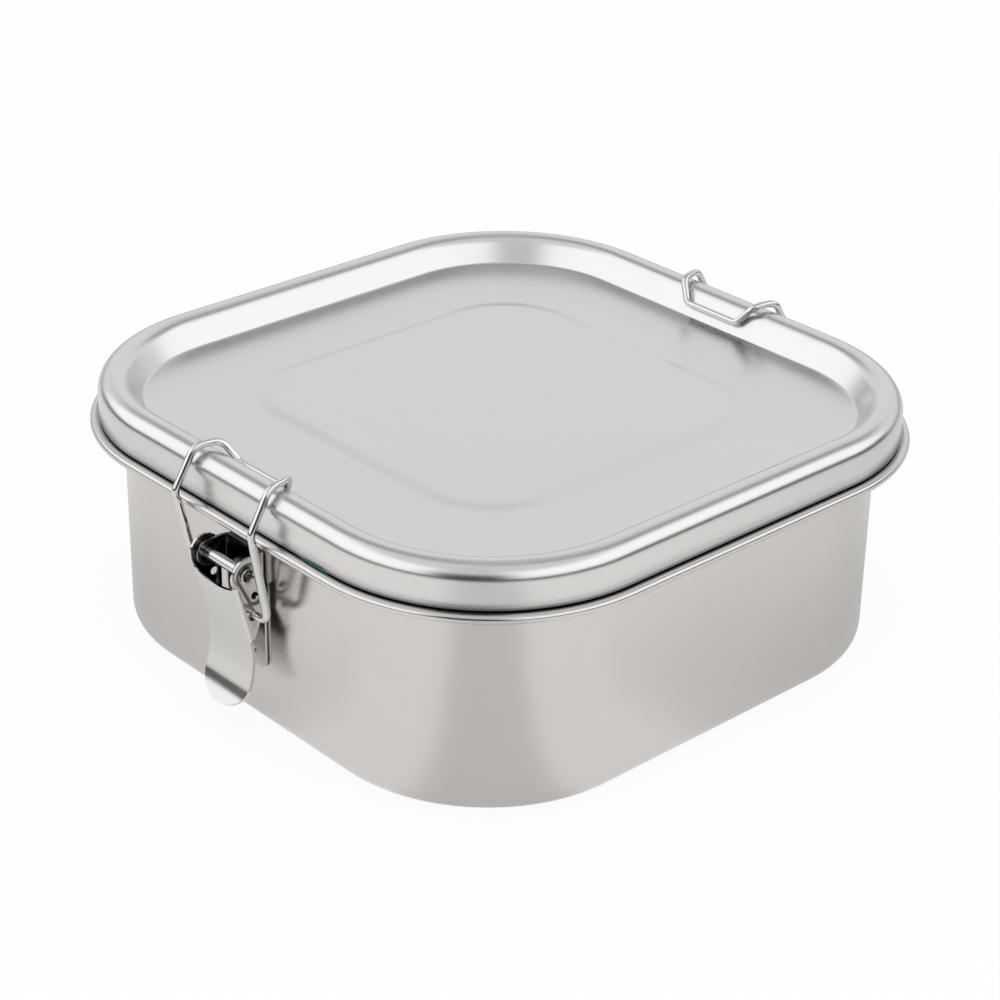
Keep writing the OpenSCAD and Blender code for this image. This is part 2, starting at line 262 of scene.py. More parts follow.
def steel(name, light, dark, roughness, streaks, streak_depth, wave_depth=0.0, shade=None):
    """Stainless steel: a cloudy tone, streaks from polishing, and a sheet that is never quite flat.

    light and dark are the ends of its tone, and streaks is how many a metre holds along each axis.
    shade makes a value that is 1 on clean steel and 0 where painted shade turns it near black.
    """
    material, tree, place = new_material(name)
    cloud = tree.noise(place, scale=28, detail=3, roughness=0.55)
    streak = tree.noise(tree.stretched(place, streaks), scale=1, detail=4, roughness=0.65)
    grain = tree.noise(place, scale=5200, detail=1, roughness=0.5)
    tone = tree.blend(cloud * 0.7 + streak * 0.3, (*dark, 1), (*light, 1))
    if shade:
        # painted shade: a near-black steel tone laid where the shade functions fall toward 0
        painted_shade_tone = (0.02, 0.018, 0.016, 1)
        tone = tree.blend(shade(tree, place), painted_shade_tone, tone)
    relief = tree.add("Bump", {}, {"Strength": 1.0, "Distance": streak_depth,
                                   "Height": streak + grain * 0.35})
    if wave_depth:
        wave = tree.noise(place, scale=34, detail=1, roughness=0.4)
        relief = tree.add("Bump", {}, {"Strength": 1.0, "Distance": wave_depth,
                                       "Height": wave, "Normal": relief})
    return finish_material(material, tree, {
        "Base Color": tone, "Metallic": 1.0, "Normal": relief,
        "Roughness": roughness + (streak - 0.5) * 0.10 + (cloud - 0.5) * 0.05})


def rim_shade(tree, place):
    """1 on clean steel, less in a line of painted shade on the rim's flat, under the lid's skirt.
    """
    past = tree.vector("SUBTRACT", tree.vector("ABSOLUTE", place), (RIM_CORNER, RIM_CORNER, 1))
    out = tree.vector("LENGTH", tree.vector("MAXIMUM", past, (0, 0, 0)), output="Value")
    line = tree.soft_step(out, SKIRT_LINE - 0.0009, SKIRT_LINE - 0.0003, 0.0, 1.0) \
        * tree.soft_step(out, SKIRT_LINE + 0.0004, SKIRT_LINE + 0.0012, 1.0, 0.0)
    height = tree.part(place, "Z")
    return 1.0 - line * tree.soft_step(height, RIM_TOP - 0.0005, RIM_TOP - 0.0002, 0.0, RIM_PAINTED_SHADE)


tub = new_piece("tub_body")
floor_end = -WALL_IN + BOTTOM_BEND
draw_section(-WALL_CORNER, (floor_end + 2 * STRIP, SHEET), (floor_end, SHEET),
             ((floor_end, SHEET + BOTTOM_BEND), -90, 12),
             (-WALL_IN, THROAT[1] - STRIP), (-WALL_IN, THROAT[1]),
             ((-THROAT[0], THROAT[1]), 90, 8))
round_the_box(WALL_CORNER)
draw_section(-RIM_CORNER, (-THROAT[0] - STRIP, RIM_TOP),
             (-RIM_ROLL[0] + FINE_STRIP, RIM_TOP), (-RIM_ROLL[0], RIM_TOP),
             ((-RIM_ROLL[0], RIM_ROLL[1]), RIM_ROLL_TURN, 26))
round_the_box(RIM_CORNER)
select(tub, "edges", at_height(RIM_TOP))
bpy.ops.mesh.fill()
select(tub, "edges", at_height(SHEET))
bpy.ops.mesh.edge_face_add()
turn_faces(tub, (0, 0, SHEET), UP)
sheet_metal(tub, SHEET, CUT_EDGE)
tub.data.materials.append(steel(
    "brushed tub steel", light=(0.66, 0.645, 0.635), dark=(0.60, 0.585, 0.575), roughness=0.20,
    streaks=(30, 30, 1500), streak_depth=0.0000025, wave_depth=0.00004, shade=rim_shade))
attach(tub, "tub")
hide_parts("tub")


# ---- Latch base plates ----
# Each is a U of 0.8 mm stainless sheet, spot-welded flat to the wall in the middle of its tongue,
# with two ears that carry the lever's pivot. The back one is the same piece, turned half round.
LATCH_SHEET = 0.0008
PLATE_Y = -0.0785             # front of the plate; its back lies on the wall
PIVOT = Vector((0, -0.0838, 0.0442))
EAR_IN = 0.0064               # middle of the latch to the inside of an ear
EAR_R = 0.0032
EAR_FOOT_Z = 0.0391           # where the tongue ends and the ears start
EAR_BEND = 0.0005
EAR_HOLE = 0.00107            # radius
TONGUE_X, TONGUE_Z = 0.0072, 0.0166   # half width of the tongue, and its lower end
TONGUE_CORNER = 0.0025
WELD_X, WELD_Z = 0.0032, (0.0207, 0.0355)     # the four spot welds, from the middle and up
WELD_BALL, WELD_OUT = 0.0013, 0.001   # radius of the electrode's tip, and how far out it stops
HOLE_SIDES = 40
BACK_SHIFT = 0.0009           # the back latch stands this far to one side of the middle of its wall
ALONG = (0, 1, 0)
TINY = 1e-6


def close_outline():
    """Joins the ends of a drawn line and fills it."""
    bpy.ops.mesh.select_linked()
    bpy.ops.mesh.remove_doubles(threshold=JOIN)
    bpy.ops.mesh.edge_face_add()


def fold(piece, radius, test):
    """Rounds the edges between two sheets that meet at an angle, as a bending tool does."""
    select(piece, "edges", test)
    bpy.ops.mesh.bevel(offset=radius, segments=4, affect="EDGES")


def cut_away(piece, tool):
    """Takes a tool's shape out of a piece and throws the tool away."""
    bpy.ops.object.mode_set(mode="OBJECT")
    boolean = piece.modifiers.new("cut", "BOOLEAN")
    boolean.operation, boolean.object, boolean.solver = "DIFFERENCE", tool, "EXACT"
    bpy.ops.object.select_all(action="DESELECT")
    bpy.context.view_layer.objects.active = piece
    piece.select_set(True)
    bpy.ops.object.modifier_apply(modifier=boolean.name)
    bpy.data.objects.remove(tool)


def drill(piece, centre, radius):
    """Drills a round hole along X, right through the latch."""
    bpy.ops.object.select_all(action="DESELECT")
    bpy.ops.mesh.primitive_cylinder_add(vertices=HOLE_SIDES, radius=radius, depth=0.03,
                                        location=centre, rotation=(0, math.pi / 2, 0))
    cut_away(piece, bpy.context.object)


def slide(piece, distance):
    """Moves a piece's mesh along X."""
    bpy.ops.object.select_all(action="DESELECT")
    bpy.context.view_layer.objects.active = piece
    bpy.ops.object.mode_set(mode="EDIT")
    bpy.ops.mesh.select_all(action="SELECT")
    bpy.ops.transform.translate(value=(distance, 0, 0))
    bpy.ops.object.mode_set(mode="OBJECT")


def turned_half_round(piece, name):
    """A copy with its own mesh for the back wall."""
    bpy.ops.object.select_all(action="DESELECT")
    bpy.context.view_layer.objects.active = piece
    piece.select_set(True)
    bpy.ops.object.duplicate()
    copy = bpy.context.object
    copy.name = copy.data.name = name
    bpy.ops.object.mode_set(mode="EDIT")
    bpy.ops.mesh.select_all(action="SELECT")
    bpy.ops.transform.rotate(value=math.pi, orient_axis="Z", center_override=(0, 0, 0))
    bpy.ops.object.mode_set(mode="OBJECT")
    slide(copy, BACK_SHIFT)
    return copy


def hand_over(pieces, material, *places):
    """Gives like pieces their material and their bodies, and hides their CAD nodes; each place's
    slot is not used.
    """
    for piece, (body, node, slot) in zip(pieces, places):
        piece.data.materials.append(material)
        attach(piece, body)
        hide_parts(node)


def on_ear_fold(edge):
    return all(abs(abs(v.co.x) - EAR_IN) < TINY and abs(v.co.y - PLATE_Y) < TINY
               for v in edge.verts)


def plate_shade(tree, place):
    """1 on polished steel, falling toward 0 in painted shade between the ears and along the joint
    with the wall.
    """
    folded = tree.vector("ABSOLUTE", place)
    across, out, height = (tree.part(folded, axis) for axis in "XYZ")
    inside = tree.soft_step(across, EAR_IN - 0.0001, EAR_IN + 0.0003, 1.0, 0.0) \
        * tree.soft_step(height, 0.0300, 0.0330, 0.0, 0.85)
    joint = tree.soft_step(out, -PLATE_Y - 0.0007, -PLATE_Y - 0.0003, 0.9, 0.0)
    return (1.0 - inside) * (1.0 - joint)


plate = new_piece("front_plate")
ear_top = PIVOT.z + EAR_R
corner_x, corner_z = TONGUE_X - TONGUE_CORNER, TONGUE_Z + TONGUE_CORNER
draw((-EAR_IN, PLATE_Y, ear_top), (-EAR_IN, PLATE_Y, EAR_FOOT_Z), (-TONGUE_X, PLATE_Y, EAR_FOOT_Z),
     (-TONGUE_X, PLATE_Y, corner_z), ((-corner_x, PLATE_Y, corner_z), ALONG, -90, 8),
     (corner_x, PLATE_Y, TONGUE_Z), ((corner_x, PLATE_Y, corner_z), ALONG, -90, 8),
     (TONGUE_X, PLATE_Y, EAR_FOOT_Z), (EAR_IN, PLATE_Y, EAR_FOOT_Z), (EAR_IN, PLATE_Y, ear_top),
     (-EAR_IN, PLATE_Y, ear_top))
close_outline()
for x in (-EAR_IN, EAR_IN):
    draw((x, PLATE_Y, ear_top), (x, PIVOT.y, ear_top), ((x, *PIVOT.yz), ACROSS, 180, 20),
         (x, PLATE_Y, EAR_FOOT_Z), (x, PLATE_Y, ear_top))
    close_outline()
bpy.ops.mesh.select_all(action="SELECT")
bpy.ops.mesh.remove_doubles(threshold=JOIN)
fold(plate, EAR_BEND, on_ear_fold)
turn_faces(plate, (0, PLATE_Y, (TONGUE_Z + EAR_FOOT_Z) / 2), (0, -1, 0))
sheet_metal(plate, LATCH_SHEET)
drill(plate, PIVOT, EAR_HOLE)
for x, z in ((side * WELD_X, z) for z in WELD_Z for side in (-1, 1)):
    bpy.ops.mesh.primitive_uv_sphere_add(segments=24, ring_count=16, radius=WELD_BALL,
                                         location=(x, PLATE_Y - WELD_OUT, z))
    cut_away(plate, bpy.context.object)
ease_edges(plate, 0.0002, 3)
bpy.ops.object.shade_smooth_by_angle(angle=SMOOTH)
latch_steel = steel("polished latch steel", light=(0.64, 0.63, 0.62), dark=(0.58, 0.57, 0.56),
                    roughness=0.16, streaks=(260, 260, 900), streak_depth=0.000002,
                    wave_depth=0.00002, shade=plate_shade)
hand_over((plate, turned_half_round(plate, "back_plate")), latch_steel,
          ("tub", "front_base_plate", "latch_steel"), ("tub", "back_base_plate", "latch_steel"))


# ---- Pivot rivets and spacer tubes ----
# A turned stainless rivet goes through the lever's cheeks and the ears, its two ends rolled over
# into dished heads. A short tube round it keeps the ears apart.
SHANK_R = 0.00105
HEAD_END = (                  # half a rivet's outline, round its head into the dish: out, radius
    (0.00800, SHANK_R), (0.00800, 0.0016), (0.00815, 0.00178), (0.00832, 0.00188),
    (0.0085, 0.0019), (0.00864, 0.00185), (0.00873, 0.00177), (0.00875, 0.00168),
    (0.0087, 0.0016), (0.00855, 0.00148), (0.0083, 0.00132), (0.0080, 0.00115),
    (0.0077, 0.0009), (0.00755, 0.0005), (0.0075, 0.0))
TUBE_BORE, TUBE_R, TUBE_X, TUBE_EASE = 0.00111, 0.0014, 0.00635, 0.0001
FINE_JOIN = 0.000003          # points of a small round piece that lie nearer than this are one


def turned_part(name, outline):
    """Spins an outline, given as (distance along X, radius), round the latch's pivot."""
    part = new_piece(name)
    draw(*((x, PIVOT.y, PIVOT.z + r) for x, r in outline))
    bpy.ops.mesh.select_linked()
    turn_out(PIVOT, ACROSS, 360, HOLE_SIDES)
    bpy.ops.mesh.select_all(action="SELECT")
    bpy.ops.mesh.remove_doubles(threshold=FINE_JOIN)
    bpy.ops.mesh.normals_make_consistent(inside=False)
    bpy.ops.object.mode_set(mode="OBJECT")
    bpy.ops.object.shade_smooth_by_angle(angle=math.radians(40))
    return part


def pin_shade(tree, place):
    """1 on turned steel, falling toward 0 in painted shade in the bottom of the dished heads."""
    folded = tree.vector("ABSOLUTE", place)
    flat = tree.vector("MULTIPLY", folded, (0, 1, 1))
    away = tree.vector("DISTANCE", flat, (0, -PIVOT.y, PIVOT.z), output="Value")
    return 1.0 - tree.soft_step(away, 0.0013, 0.0016, 0.85, 0.0) \
        * tree.soft_step(tree.part(folded, "X"), 0.0072, 0.0074, 0.0, 1.0)


pin_steel = steel("turned pin steel", light=(0.68, 0.67, 0.66), dark=(0.60, 0.59, 0.58),
                  roughness=0.14, streaks=(3000, 300, 300), streak_depth=0.000001, shade=pin_shade)
rivet = turned_part("front_rivet", (*((-x, r) for x, r in reversed(HEAD_END)), *HEAD_END))
hand_over((rivet, turned_half_round(rivet, "back_rivet")), pin_steel,
          ("tub", "front_pivot_rivet", "pin_steel"), ("tub", "back_pivot_rivet", "pin_steel"))

sleeve = turned_part("front_spacer_tube", (
    (-TUBE_X, TUBE_BORE), (-TUBE_X, TUBE_R - TUBE_EASE), (TUBE_EASE - TUBE_X, TUBE_R),
    (TUBE_X - TUBE_EASE, TUBE_R), (TUBE_X, TUBE_R - TUBE_EASE), (TUBE_X, TUBE_BORE),
    (-TUBE_X, TUBE_BORE)))
hand_over((sleeve, turned_half_round(sleeve, "back_spacer_tube")), pin_steel,
          ("tub", "front_pivot_sleeve", "pin_steel"), ("tub", "back_pivot_sleeve", "pin_steel"))


# ---- Latch levers ----
# One blank of the same sheet, folded into two cheeks and a face that runs out into a curled
# finger tab. The cheeks are coined round the pivot and have three holes: for the pivot, for the
# wire, and a spare one.
LEVER_X = 0.0082              # middle of the latch to the outside of a cheek
LEAN = math.radians(14.65)
OUT = Vector((0, -math.cos(LEAN), -math.sin(LEAN)))     # out of the lever's front face
DOWN = Vector((0, math.sin(LEAN), -math.cos(LEAN)))     # down along it
HOOK = Vector((0, -0.0824, 0.0337))                     # where the wire's ends sit in the cheeks
SPARE = Vector((0, -0.0817, 0.03815))                   # the spare hole
LEVER_PIVOT_HOLE, LEVER_HOOK_HOLE, LEVER_SPARE_HOLE = 0.00111, 0.00137, 0.001     # radii
HOOK_WEAR = 0.00045           # the hook's hole has worn downward
CHEEK_R, CHEEK_END_R = 0.00425, 0.0028    # its round ends, about the pivot and about the hook
NOTCH = math.radians(16.4)    # where the cheek's upper round starts, from the face's direction
ROUND_TURN, END_TURN = -211.32, -22.0     # degrees of the two rounds
END_START = math.radians(-0.272)          # where the lower round starts
HEEL_Y, HEEL_Z = -0.082174, 0.026867      # the cheek's lowest corner
LEVER_BEND = 0.0009
FACE_START, FACE_END = 0.001576, 0.0167   # the flat face, down from the pivot
CURL_R, CURL = 0.021, math.radians(53.5)
TIP_RISE = 0.00568            # height of the tab's rounded end
TIP_TURN = 86                 # degrees of round on each side of the tip
CURL_ROWS, TIP_ROWS, COLUMNS = 9, 10, 10  # of mesh
HOLLOW_X, HOLLOW_R, HOLLOW_Z = 0.00725, 0.01781, 0.0396   # the hollow in the face's upper edge
DISH_DEPTH = 0.00028          # of the coined dish round the pivot and the spare hole
DISH_R, DISH_END_R, DISH_STRETCH = 0.0020, 0.0013, (1, 1.42, 1.2)

foot = PIVOT + CHEEK_R * OUT
face_top = foot + FACE_START * DOWN
face_end = foot + FACE_END * DOWN
curl_centre = face_end + CURL_R * OUT


def on_curl(angle):
    return curl_centre + CURL_R * Vector((0, math.cos(angle), math.sin(angle)))


def curl_angle(z):
    return math.asin((z - curl_centre.z) / CURL_R)


def on_lever_fold(edge):
    a, b = (v.co for v in edge.verts)
    as_long = abs(abs(a.z - b.z) - (face_top - face_end).z) < TINY
    return abs(abs(a.x) - LEVER_X) < TINY and abs(a.x - b.x) < TINY and as_long


def close_block(depth):
    """Fills a drawn outline and draws it out to a block."""
    close_outline()
    draw_out(depth)


def cut_with_block(piece, block):
    bpy.ops.mesh.select_all(action="SELECT")
    bpy.ops.mesh.normals_make_consistent(inside=False)
    cut_away(piece, block)


def lever_shade(tree, place):
    """1 on polished steel, falling toward 0 in painted shade inside the folded cheeks and on the
    dish's slope.
    """
    folded = tree.vector("ABSOLUTE", place)
    across = tree.part(folded, "X")
    pivot = Vector((0, -PIVOT.y, PIVOT.z))
    to_spare = Vector((0, PIVOT.y - SPARE.y, SPARE.z - PIVOT.z))
    from_pivot = tree.vector("SUBTRACT", tree.vector("MULTIPLY", folded, (0, 1, 1)), pivot)
    facing = tree.vector("DOT_PRODUCT", from_pivot, (0, math.cos(LEAN), -math.sin(LEAN)),
                         output="Value")
    inside = tree.soft_step(across, LEVER_X - 0.0007, LEVER_X - 0.0004, 1.0, 0.0) \
        * tree.soft_step(facing, CHEEK_R - 0.0006, CHEEK_R - 0.0002, 1.0, 0.0)
    along = tree.vector("DOT_PRODUCT", from_pivot, to_spare / to_spare.length_squared,
                        output="Value")
    share = along.math("MINIMUM", along.math("MAXIMUM", along), 1.0)
    nearest = tree.add("VectorMath", {"operation": "SCALE"}, {0: to_spare, "Scale": share},
                       "Vector")
    away = tree.vector("DISTANCE", from_pivot, nearest, output="Value") + share * 0.0007
    slope = tree.soft_step(away, 0.0020, 0.0025, 0.0, 1.0) \
        * tree.soft_step(away, 0.0029, 0.0034, 1.0, 0.0) \
        * tree.soft_step(across, LEVER_X - 0.0005, LEVER_X - 0.0003, 0.0, 0.82)
    return (1.0 - inside * 0.88) * (1.0 - slope)


lever = new_piece("front_lever_sheet")
half_width = Vector((LEVER_X, 0, 0))
start_line(face_top - half_width)
for _ in range(COLUMNS):
    draw_out(half_width * 2 / COLUMNS)
bpy.ops.mesh.select_linked()
draw_out(face_end - face_top)
tip_start = on_curl(LEAN - CURL).z + TIP_RISE
rows = [(LEAN + (curl_angle(tip_start) - LEAN) * i / CURL_ROWS, 1.0)
        for i in range(1, CURL_ROWS + 1)]
for i in range(1, TIP_ROWS + 1):
    turn = math.radians(TIP_TURN * i / TIP_ROWS)
    rows.append((curl_angle(tip_start - TIP_RISE * math.sin(turn)), math.cos(turn)))
here, width = face_end, 1.0
for angle, new_width in rows:
    draw_out(on_curl(angle) - here)
    here = on_curl(angle)
    bpy.ops.transform.resize(value=(new_width / width, 1, 1), center_override=here)
    width = new_width
for x in (-LEVER_X, LEVER_X):
    shift = Vector((x, 0, 0))
    draw(face_end + shift, face_top + shift, face_top - LEVER_BEND * OUT + shift,
         PIVOT + CHEEK_R * (OUT * math.cos(NOTCH) + DOWN * math.sin(NOTCH)) + shift,
         (PIVOT + shift, ACROSS, ROUND_TURN, 30),
         HOOK + CHEEK_END_R * Vector((0, math.cos(END_START), math.sin(END_START))) + shift,
         (HOOK + shift, ACROSS, END_TURN, 4), Vector((x, HEEL_Y, HEEL_Z)), face_end + shift)
    close_outline()
bpy.ops.mesh.select_all(action="SELECT")
bpy.ops.mesh.remove_doubles(threshold=JOIN)
fold(lever, LEVER_BEND, on_lever_fold)
turn_faces(lever, (face_top + face_end) / 2, OUT)
sheet_metal(lever, LATCH_SHEET)

block = new_piece("hollow_tool")
front_y, block_top = -0.096, 0.046
hollow_centre = (0, front_y, HOLLOW_Z + HOLLOW_R)
start = Vector((-HOLLOW_X, front_y, HOLLOW_Z + HOLLOW_R - math.sqrt(HOLLOW_R ** 2 - HOLLOW_X ** 2)))
draw(start, (hollow_centre, ALONG, -2 * math.degrees(math.asin(HOLLOW_X / HOLLOW_R)), 16),
     (HOLLOW_X, front_y, block_top), (-HOLLOW_X, front_y, block_top), start)
close_block((0, 0.0112, 0))
cut_with_block(lever, block)

span = SPARE - PIVOT
slant = math.atan2(span.z, span.y)
lean = math.acos((DISH_R - DISH_END_R) / span.length)     # of the dish's straight sides
for side in (-1, 1):
    block = new_piece("dish_tool")
    shift = Vector((side * (LEVER_X - DISH_DEPTH), 0, 0))
    start = PIVOT + DISH_R * Vector((0, math.cos(slant + lean), math.sin(slant + lean))) + shift
    draw(start, (PIVOT + shift, ACROSS, math.degrees(2 * math.pi - 2 * lean), 28),
         SPARE + DISH_END_R * Vector((0, math.cos(slant - lean), math.sin(slant - lean))) + shift,
         (SPARE + shift, ACROSS, math.degrees(2 * lean), 16), start)
    close_block((side * 0.0003, 0, 0))
    bpy.ops.transform.resize(value=DISH_STRETCH, center_override=PIVOT * 0.6 + SPARE * 0.4)
    cut_with_block(lever, block)
drill(lever, PIVOT, LEVER_PIVOT_HOLE)
drill(lever, HOOK - Vector((0, 0, HOOK_WEAR)), LEVER_HOOK_HOLE)
drill(lever, SPARE, LEVER_SPARE_HOLE)
ease_edges(lever, 0.00014)
bpy.ops.object.shade_smooth_by_angle(angle=SMOOTH)
lever_steel = steel("polished lever steel", light=(0.66, 0.65, 0.64), dark=(0.60, 0.59, 0.58),
                    roughness=0.13, streaks=(200, 500, 500), streak_depth=0.0000015,
                    wave_depth=0.00002, shade=lever_shade)
hand_over((lever, turned_half_round(lever, "back_lever_sheet")), lever_steel,
          ("front_lever", "front_lever", "lever_steel"),
          ("back_lever", "back_lever", "lever_steel"))


# ---- Latch wires ----
# Each is one length of 1.84 mm stainless spring wire with five bends in each leg. Its ends turn
# into the lever's cheeks, its lower legs are pressed flat, and its cross bar hooks behind the
# bead of the lid.
WIRE_R = 0.00092
WIRE_SHIFT = 0.0008           # each wire has slid a little to one side in its lever
WIRE_CORNERS = (              # of one leg, from the end in the cheek to the middle of the cross bar
    (0.0064, -0.0824, 0.0337), (0.013, -0.0824, 0.0337), (0.0142, -0.0876, 0.0584),
    (0.0139, -0.0818, 0.06825), (0.0126, -0.0753, 0.06825), (0.0087, -0.07283, 0.0632),
    (0, -0.07283, 0.0632))
WIRE_BENDS = (0.0034, 0.0025, 0.0042, 0.0034, 0.0021)     # radii at the corners between
BEND_ROWS, FLAT_ROWS = 12, 10
PRESSED_WIDER, PRESSED_FULLER = 1.3, 1.15     # how the press spreads the wire
PRESSED_HALF = 0.0007         # from the pressed wire's middle to each flat


def bend(before, corner, after, radius):
    """The points of a bend at a corner of the wire."""
    back, on = (before - corner).normalized(), (after - corner).normalized()
    half = back.angle(on) / 2
    centre = corner + (back + on).normalized() * radius / math.sin(half)
    start, end = (corner + way * radius / math.tan(half) - centre for way in (back, on))
    return [centre + start.normalized().slerp(end.normalized(), i / BEND_ROWS) * radius
            for i in range(BEND_ROWS + 1)]


def press_legs(vertices, line, first, count):
    """Flattens the wire at a number of the line's points, counted from either end."""
    for vertex in vertices:
        nearest = min(range(len(line)), key=lambda i: (line[i] - vertex.co).length)
        station = min(nearest, len(line) - 1 - nearest) - first
        share = min(1, max(0, (station + 2) / 2), max(0, (count + 1 - station) / 2))
        if share <= 0:
            continue
        middle = line[nearest]
        ahead = (line[min(nearest + 1, len(line) - 1)] - line[nearest - 1]).normalized()
        thick = Vector((0, -1, 0))
        thick = (thick - ahead * thick.dot(ahead)).normalized()
        wide = ahead.cross(thick)
        offset = vertex.co - middle
        u, v, w = offset.dot(wide), offset.dot(thick), offset.dot(ahead)
        flat_u = u * PRESSED_WIDER
        flat_v = max(-PRESSED_HALF, min(PRESSED_HALF, v * PRESSED_FULLER))
        vertex.co = middle + wide * (u + (flat_u - u) * share) \
            + thick * (v + (flat_v - v) * share) + ahead * w


corners = [Vector(corner) for corner in WIRE_CORNERS]
bends = [bend(*corners[i:i + 3], radius) for i, radius in enumerate(WIRE_BENDS)]
flat = [bends[0][-1].lerp(bends[1][0], i / FLAT_ROWS) for i in range(1, FLAT_ROWS)]
leg = [corners[0]] + bends[0] + flat + sum(bends[1:], [])
line = leg + [Vector((-p.x, p.y, p.z)) for p in reversed(leg)]
bpy.ops.object.select_all(action="DESELECT")
path = bpy.data.curves.new("front_wire", "CURVE")
path.dimensions, path.twist_mode = "3D", "MINIMUM"
path.bevel_depth, path.bevel_resolution, path.use_fill_caps = WIRE_R, 4, True
spline = path.splines.new("POLY")
spline.points.add(len(line) - 1)
for place, point in zip(spline.points, line):
    place.co = (*point, 1)
wire = bpy.data.objects.new("front_wire", path)
bpy.context.scene.collection.objects.link(wire)
bpy.context.view_layer.objects.active = wire
wire.select_set(True)
bpy.ops.object.convert(target="MESH")
wire = bpy.context.object
press_legs(wire.data.vertices, line, 1 + len(bends[0]), len(flat))
bpy.ops.object.mode_set(mode="EDIT")
bpy.ops.mesh.select_all(action="SELECT")
bpy.ops.mesh.remove_doubles(threshold=FINE_JOIN)
bpy.ops.mesh.normals_make_consistent(inside=False)
bpy.ops.object.mode_set(mode="OBJECT")
bpy.ops.object.shade_smooth_by_angle(angle=math.radians(50))
wire_steel = steel("drawn wire steel", light=(0.70, 0.69, 0.68), dark=(0.64, 0.63, 0.62),
                   roughness=0.12, streaks=(900, 900, 200), streak_depth=0.000001)
wires = wire, turned_half_round(wire, "back_wire")
for wire in wires:
    slide(wire, WIRE_SHIFT)
hand_over(wires, wire_steel,
          ("front_bail", "front_bail", "wire_steel"), ("back_bail", "back_bail", "wire_steel"))


# ---- Lid ----
# One pressed sheet with the same finish: a flat panel with a low raised square, a half-round
# bead all round that holds the seal, and a straight skirt that stands just inside the rolled rim.
PANEL_Z = 0.060
PANEL_STRIP = 0.0008          # narrow strip of mesh beside the panel's bends
BEAD = (0.0785, 0.06235)      # centre of the bead's half round
BEAD_R = 0.00425
FLANK = math.radians(33)      # lean of the bead's inner side
FILLET_R = 0.0008             # where the bead's inner side meets the panel
SKIRT_Z = 0.0563
SKIRT_PAINTED_SHADE = 0.42            # how much of the steel's brightness painted shade leaves at the skirt's lower edge
SQUARE_CORNER = 0.0275        # centre of the raised square's round corners
SQUARE = 0.0465               # middle of the slope round the raised square
SLOPE, RISE = 0.0062, 0.0006
SLOPE_ROWS = 8


def skirt_shade(tree, place):
    """1 on clean steel, less in painted shade at the skirt's lower edge, just above the rim."""
    height = tree.part(place, "Z")
    return tree.soft_step(height, SKIRT_Z - 0.0002, SKIRT_Z + 0.0011, SKIRT_PAINTED_SHADE, 1.0)


lid = new_piece("lid_body")
crest_end = (-BEAD[0] + BEAD_R * math.cos(FLANK), BEAD[1] + BEAD_R * math.sin(FLANK))
fillet_y = crest_end[0] + (crest_end[1] - PANEL_Z) * math.tan(FLANK) \
    + FILLET_R * math.tan((math.pi / 2 - FLANK) / 2)
draw_section(-RIM_CORNER, (fillet_y + PANEL_STRIP, PANEL_Z), (fillet_y, PANEL_Z),
             ((fillet_y, PANEL_Z + FILLET_R), math.degrees(FLANK) - 90, 8), crest_end,
             ((-BEAD[0], BEAD[1]), 180 - math.degrees(FLANK), 32),
             (-BEAD[0] - BEAD_R, BEAD[1] - STRIP), (-BEAD[0] - BEAD_R, SKIRT_Z))
round_the_box(RIM_CORNER)
slope = [(-SQUARE - SLOPE / 2 + SLOPE * i / SLOPE_ROWS,
          PANEL_Z + RISE * (1 - math.cos(math.pi * i / SLOPE_ROWS)) / 2)
         for i in range(SLOPE_ROWS + 1)]
draw_section(-SQUARE_CORNER, (slope[0][0] - PANEL_STRIP, PANEL_Z), *slope,
             (slope[-1][0] + PANEL_STRIP, PANEL_Z + RISE))
round_the_box(SQUARE_CORNER)
select(lid, "edges", at_height(PANEL_Z))
bpy.ops.mesh.fill()
select(lid, "edges", at_height(PANEL_Z + RISE))
bpy.ops.mesh.edge_face_add()
turn_faces(lid, (0, 0, PANEL_Z + RISE), UP)
sheet_metal(lid, SHEET, CUT_EDGE)
lid.data.materials.append(steel(
    "brushed lid steel", light=(0.70, 0.70, 0.69), dark=(0.66, 0.66, 0.65), roughness=0.25,
    streaks=(30, 420, 900), streak_depth=0.000002, wave_depth=0.00003, shade=skirt_shade))
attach(lid, "lid")
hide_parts("lid")


# ---- Seal ----
# One moulded ring of teal silicone, pressed up into the bead from below. Its two lips lie on the
# tub's rim, and a thin bit of it has been squeezed out beside the front latch.
SEAL_BASE = 0.0561
SEAL_R = 0.00355
LIP_EASE = 0.0003
CHAMFER_OUT, CHAMFER_UP = 0.0009, 0.0012      # of the outer lip's lower corner
GROOVE_X, GROOVE_Z = 0.0013, 0.0596           # half width and roof of the groove between the lips
BULGE = ((0.0235, -0.0822), (0.0270, -0.0828), (0.0305, -0.08295), (0.0335, -0.08305),
         (0.0355, -0.0829), (0.0367, -0.0822))    # outline of the squeezed-out bit, seen from above
BULGE_HEIGHT = 0.00042

